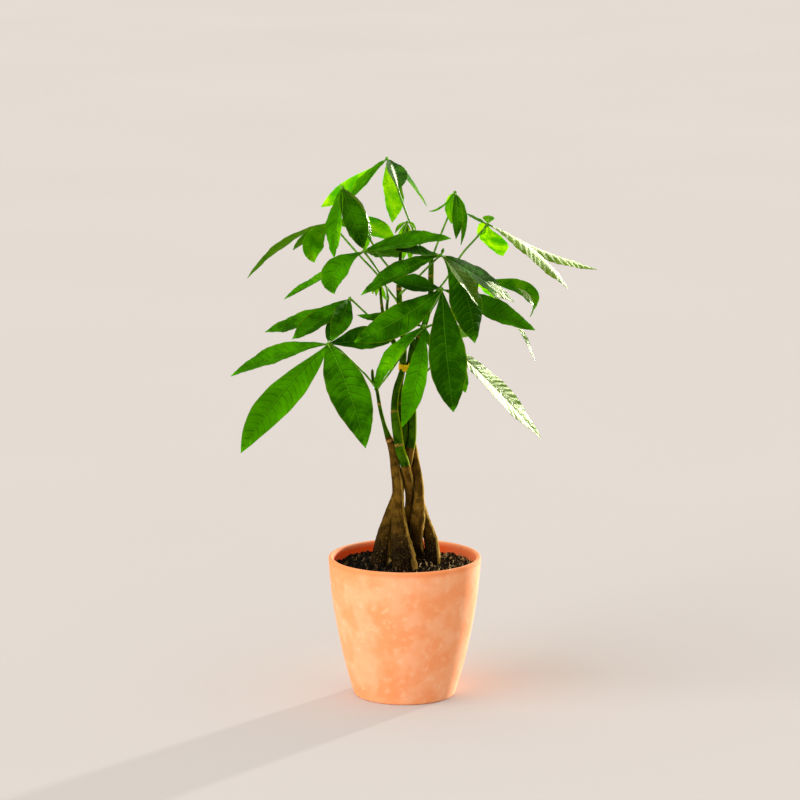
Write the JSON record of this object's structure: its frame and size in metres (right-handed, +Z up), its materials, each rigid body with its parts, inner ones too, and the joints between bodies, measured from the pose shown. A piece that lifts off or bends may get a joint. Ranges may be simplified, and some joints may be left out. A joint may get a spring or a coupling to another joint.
{
  "type": "potted money tree",
  "caption": "Potted money tree with braided trunks, drooping hand-shaped leaves and a round terracotta pot.",
  "frame": {"origin": "centre of the pot's flat underside", "axes": "+Z up along the pot's axis, -Y towards the viewer of the picture, +X to that viewer's right"},
  "size_m": [0.3571, 0.1971, 0.5286],
  "materials": {
    "terracotta": "matt unglazed clay with pale bloom",
    "soil": "dark moist potting mix with bark chips",
    "bark": "smooth olive-brown bark, green higher up",
    "tie": "satin yellow tie",
    "leaf": "satin leaf green, lighter ribs",
    "young_leaf": "fresh bright green"
  },
  "bodies": {
    "root": {"pot": "terracotta", "soil": "soil", "strand_left": "bark", "strand_front": "bark", "strand_centre": "bark", "strand_inner": "bark", "strand_right": "bark", "tie": "tie", "leaf_top": "leaf", "leaf_upper_left": "leaf", "leaf_far_left": "leaf", "leaf_middle_left": "leaf", "leaf_centre_upper": "leaf", "leaf_centre_lower": "leaf", "leaf_lower_left": "leaf", "leaf_left": "leaf", "leaf_low_centre": "leaf", "leaf_low_right": "leaf", "leaf_right": "leaf", "leaf_right_top": "leaf", "leaf_right_back": "leaf", "young_leaf_top": "young_leaf", "young_leaf_low": "young_leaf"}
  },
  "joints": []
}
